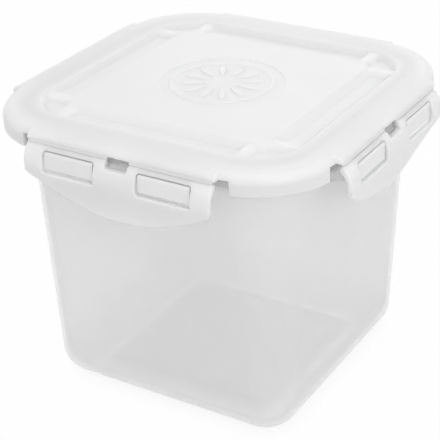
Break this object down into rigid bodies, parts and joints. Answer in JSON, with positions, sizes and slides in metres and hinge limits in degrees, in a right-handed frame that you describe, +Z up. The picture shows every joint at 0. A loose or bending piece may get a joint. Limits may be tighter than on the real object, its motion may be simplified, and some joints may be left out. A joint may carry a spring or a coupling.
{
  "type": "food storage container",
  "caption": "Square translucent plastic food box with a tapered tub, a sealed lid, and a locking flap on each side that swings on a living hinge.",
  "frame": {"origin": "middle of the foot, on the surface that the box stands on", "axes": "+Z up through the lid, -Y towards the front flap, +X towards the right flap"},
  "size_m": [0.1604, 0.1604, 0.128],
  "materials": {
    "tub_plastic": "natural milky polypropylene, satin",
    "lid_plastic": "natural milky polypropylene, fine matt",
    "flap_plastic": "natural milky polypropylene, fine matt",
    "web_plastic": "thin polypropylene strip, whitened by bending",
    "seal_silicone": "clear soft silicone"
  },
  "bodies": {
    "tub": {"tub": "tub_plastic"},
    "lid": {"lid": "lid_plastic", "seal": "seal_silicone"},
    "hinge_front": {"hinge_web_front_left": "web_plastic", "hinge_web_front_right": "web_plastic"},
    "hinge_right": {"hinge_web_right_left": "web_plastic", "hinge_web_right_right": "web_plastic"},
    "hinge_back": {"hinge_web_back_left": "web_plastic", "hinge_web_back_right": "web_plastic"},
    "hinge_left": {"hinge_web_left_left": "web_plastic", "hinge_web_left_right": "web_plastic"},
    "flap_front": {"flap_front": "flap_plastic"},
    "flap_right": {"flap_right": "flap_plastic"},
    "flap_back": {"flap_back": "flap_plastic"},
    "flap_left": {"flap_left": "flap_plastic"}
  },
  "joints": [
    {"name": "lid_lift", "type": "slide", "parent": "tub", "child": "lid", "axis": [0, 0, 1], "range_m": [0, 0.01]},
    {"name": "hinge_fold_front", "type": "hinge", "parent": "lid", "child": "hinge_front", "pos_m": [0, -0.0764, 0.12455], "axis": [-1, 0, 0], "range_deg": [0, 50]},
    {"name": "hinge_fold_right", "type": "hinge", "parent": "lid", "child": "hinge_right", "pos_m": [0.0764, 0, 0.12455], "axis": [0, -1, 0], "range_deg": [0, 50]},
    {"name": "hinge_fold_back", "type": "hinge", "parent": "lid", "child": "hinge_back", "pos_m": [0, 0.0764, 0.12455], "axis": [1, 0, 0], "range_deg": [0, 50]},
    {"name": "hinge_fold_left", "type": "hinge", "parent": "lid", "child": "hinge_left", "pos_m": [-0.0764, 0, 0.12455], "axis": [0, 1, 0], "range_deg": [0, 50]},
    {"name": "flap_swing_front", "type": "hinge", "parent": "hinge_front", "child": "flap_front", "pos_m": [0, -0.0764, 0.12345], "axis": [-1, 0, 0], "range_deg": [0, 85]},
    {"name": "flap_swing_right", "type": "hinge", "parent": "hinge_right", "child": "flap_right", "pos_m": [0.0764, 0, 0.12345], "axis": [0, -1, 0], "range_deg": [0, 85]},
    {"name": "flap_swing_back", "type": "hinge", "parent": "hinge_back", "child": "flap_back", "pos_m": [0, 0.0764, 0.12345], "axis": [1, 0, 0], "range_deg": [0, 85]},
    {"name": "flap_swing_left", "type": "hinge", "parent": "hinge_left", "child": "flap_left", "pos_m": [-0.0764, 0, 0.12345], "axis": [0, 1, 0], "range_deg": [0, 85]}
  ],
  "couplings": [
    {"joint": "hinge_fold_front", "follows": "lid_lift", "rad_per_m": 87.26},
    {"joint": "hinge_fold_right", "follows": "lid_lift", "rad_per_m": 87.26},
    {"joint": "hinge_fold_back", "follows": "lid_lift", "rad_per_m": 87.26},
    {"joint": "hinge_fold_left", "follows": "lid_lift", "rad_per_m": 87.26}
  ]
}
